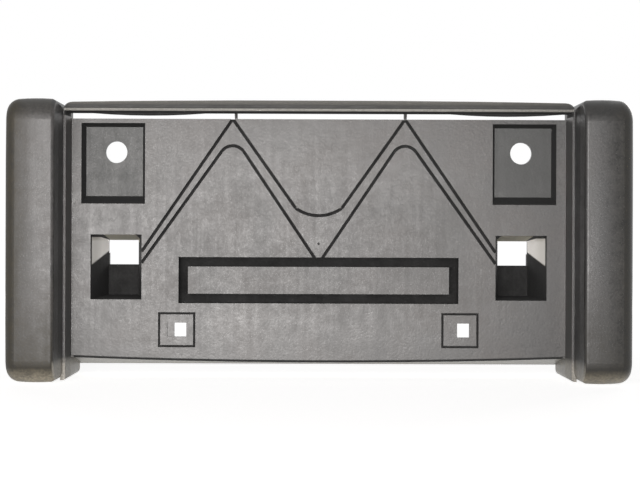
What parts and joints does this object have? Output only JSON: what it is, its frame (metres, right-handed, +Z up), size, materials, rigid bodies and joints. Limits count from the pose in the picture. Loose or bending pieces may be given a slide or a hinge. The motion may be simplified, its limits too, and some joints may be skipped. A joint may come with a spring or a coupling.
{
  "type": "number plate holder",
  "caption": "Black plastic holder that carries a number plate between two raised guards, with a lip over the plate's top edge and bolt pads for a vehicle's bumper.",
  "frame": {"origin": "midway between the two bolt holes, on the front face of the bolt pads", "axes": "+X to the right as seen from the front, -Y towards the viewer in front of the vehicle, +Z up"},
  "size_m": [0.379, 0.066, 0.1738],
  "materials": {
    "moulding": "fine-grained black moulding with a soft satin sheen"
  },
  "bodies": {
    "root": {"plate_holder": "moulding"}
  },
  "joints": []
}
